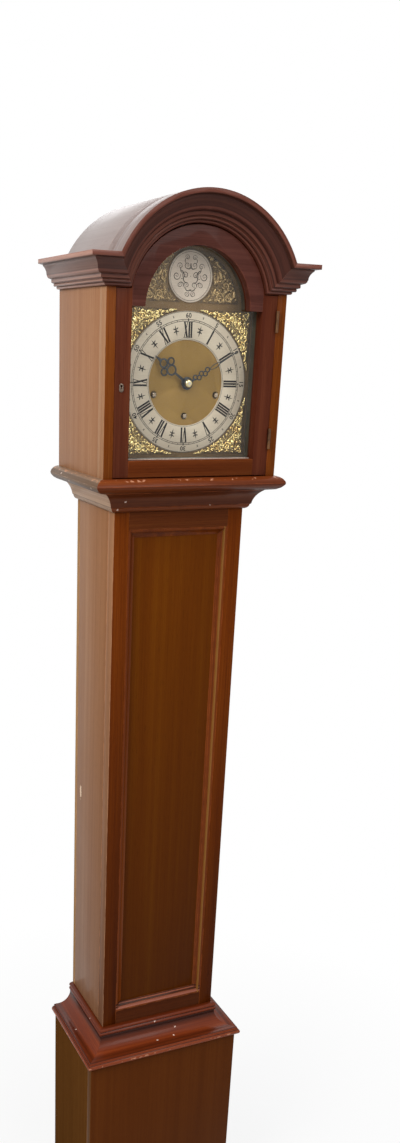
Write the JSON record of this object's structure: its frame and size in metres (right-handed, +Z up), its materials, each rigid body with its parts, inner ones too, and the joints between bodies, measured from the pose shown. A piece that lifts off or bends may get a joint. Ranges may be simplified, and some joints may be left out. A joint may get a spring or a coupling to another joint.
{
  "type": "longcase clock",
  "caption": "Small mahogany longcase clock with a break-arch hood, hinged glazed hood door, brass dial with a silvered chapter ring, and a panelled trunk on a plinth.",
  "frame": {"origin": "centre of the clock's overall width and depth, on the floor", "axes": "+X to the right as seen from the front, +Y to the back, +Z up"},
  "size_m": [0.312, 0.195, 1.575],
  "materials": {
    "mahogany_front": "polished, vertical grain",
    "mahogany_sides": "polished and faded, vertical grain",
    "mahogany_mouldings": "polished, grain along the length",
    "mahogany_frame": "polished",
    "mahogany_panel": "polished veneer, vertical grain",
    "mahogany_roof": "glossy veneer",
    "plain_wood": "unpolished",
    "mask_paint": "matt grey-green paint on wood",
    "cabinet_brass": "aged",
    "dial_brass": "matted",
    "cast_brass": "lacquered casting",
    "silvered_brass": "silvered",
    "movement_brass": "bright",
    "bright_steel": "bright",
    "blued_steel": "blued nearly black",
    "gong_steel": "oiled",
    "clear_glass": "clear"
  },
  "bodies": {
    "case": {"plinth_front": "mahogany_front", "plinth_sides": "mahogany_sides", "skirting": "mahogany_mouldings", "bottom_board": "plain_wood", "plinth_fillers": "plain_wood", "base_moulding": "mahogany_mouldings", "trunk_side_left": "mahogany_sides", "trunk_side_right": "mahogany_sides", "trunk_stiles": "mahogany_frame", "trunk_rails": "mahogany_frame", "trunk_panel": "mahogany_panel", "panel_moulding": "mahogany_mouldings", "backboard": "plain_wood", "waist_moulding": "mahogany_mouldings", "hood_side_left": "mahogany_sides", "hood_side_right": "mahogany_sides", "hood_posts": "mahogany_frame", "hood_arch_board": "mahogany_frame", "cornice_returns": "mahogany_mouldings", "cornice_arch": "mahogany_mouldings", "hood_roof": "mahogany_roof", "rear_access_panel": "plain_wood", "rear_panel_screws": "cabinet_brass", "seat_board": "plain_wood", "dial_mask": "mask_paint", "fixed_hinge_leaves": "cabinet_brass", "dial_plate": "dial_brass", "chapter_ring": "silvered_brass", "corner_spandrels": "cast_brass", "arch_spandrels": "cast_brass", "dial_boss": "silvered_brass", "front_plate": "movement_brass", "back_plate": "movement_brass", "plate_pillars": "movement_brass", "movement_brackets": "movement_brass", "spring_barrels": "movement_brass", "train_wheels": "movement_brass", "gong_set": "gong_steel"},
    "hood_door": {"door_stiles": "mahogany_frame", "door_bottom_rail": "mahogany_frame", "door_arch_rail": "mahogany_frame", "door_glass": "clear_glass", "glazing_bead": "mahogany_frame", "door_hinge_leaves": "cabinet_brass", "lock_case": "cabinet_brass", "escutcheon": "bright_steel"},
    "bolt": {"lock_bolt": "bright_steel"},
    "winding_left": {"winding_arbor_left": "bright_steel"},
    "winding_centre": {"winding_arbor_centre": "bright_steel"},
    "winding_right": {"winding_arbor_right": "bright_steel"},
    "minute_arbor": {"centre_arbor": "bright_steel", "minute_hand": "blued_steel", "hand_nut": "cabinet_brass"},
    "motion_work": {"minute_wheel": "movement_brass"},
    "hour_work": {"hour_wheel": "movement_brass", "hour_hand": "blued_steel"},
    "pendulum": {"pallet_anchor": "bright_steel", "pendulum_rod": "bright_steel", "pendulum_bob": "movement_brass"},
    "hammer_row": {"hammers": "movement_brass"}
  },
  "joints": [
    {"name": "door_hinge", "type": "hinge", "parent": "case", "child": "hood_door", "pos_m": [0.1127, -0.0696, 1.336], "axis": [0, 0, 1], "range_deg": [0, 110]},
    {"name": "bolt_slide", "type": "slide", "parent": "hood_door", "child": "bolt", "axis": [-1, 0, 0], "range_m": [0, 0.005]},
    {"name": "minute_turn", "type": "hinge", "parent": "case", "child": "minute_arbor", "pos_m": [0, -0.0375, 1.353], "axis": [0, 1, 0], "continuous": true},
    {"name": "motion_turn", "type": "hinge", "parent": "case", "child": "motion_work", "pos_m": [0, -0.0375, 1.377], "axis": [0, 1, 0], "continuous": true},
    {"name": "hour_turn", "type": "hinge", "parent": "case", "child": "hour_work", "pos_m": [0, -0.0375, 1.353], "axis": [0, 1, 0], "continuous": true},
    {"name": "pendulum_swing", "type": "hinge", "parent": "case", "child": "pendulum", "pos_m": [0, 0.0515, 1.39], "axis": [0, 1, 0], "range_deg": [-4, 4]},
    {"name": "hammer_lift", "type": "hinge", "parent": "case", "child": "hammer_row", "pos_m": [0.042, 0.0585, 1.302], "axis": [1, 0, 0], "range_deg": [-14, 3]},
    {"name": "winding_turn_left", "type": "hinge", "parent": "case", "child": "winding_left", "pos_m": [-0.045, -0.0375, 1.3385], "axis": [0, 1, 0], "continuous": true},
    {"name": "winding_turn_centre", "type": "hinge", "parent": "case", "child": "winding_centre", "pos_m": [0, -0.0375, 1.312], "axis": [0, 1, 0], "continuous": true},
    {"name": "winding_turn_right", "type": "hinge", "parent": "case", "child": "winding_right", "pos_m": [0.045, -0.0375, 1.3385], "axis": [0, 1, 0], "continuous": true}
  ],
  "couplings": [
    {"joint": "motion_turn", "follows": "minute_turn", "ratio": -0.33333},
    {"joint": "hour_turn", "follows": "minute_turn", "ratio": 0.083333}
  ]
}
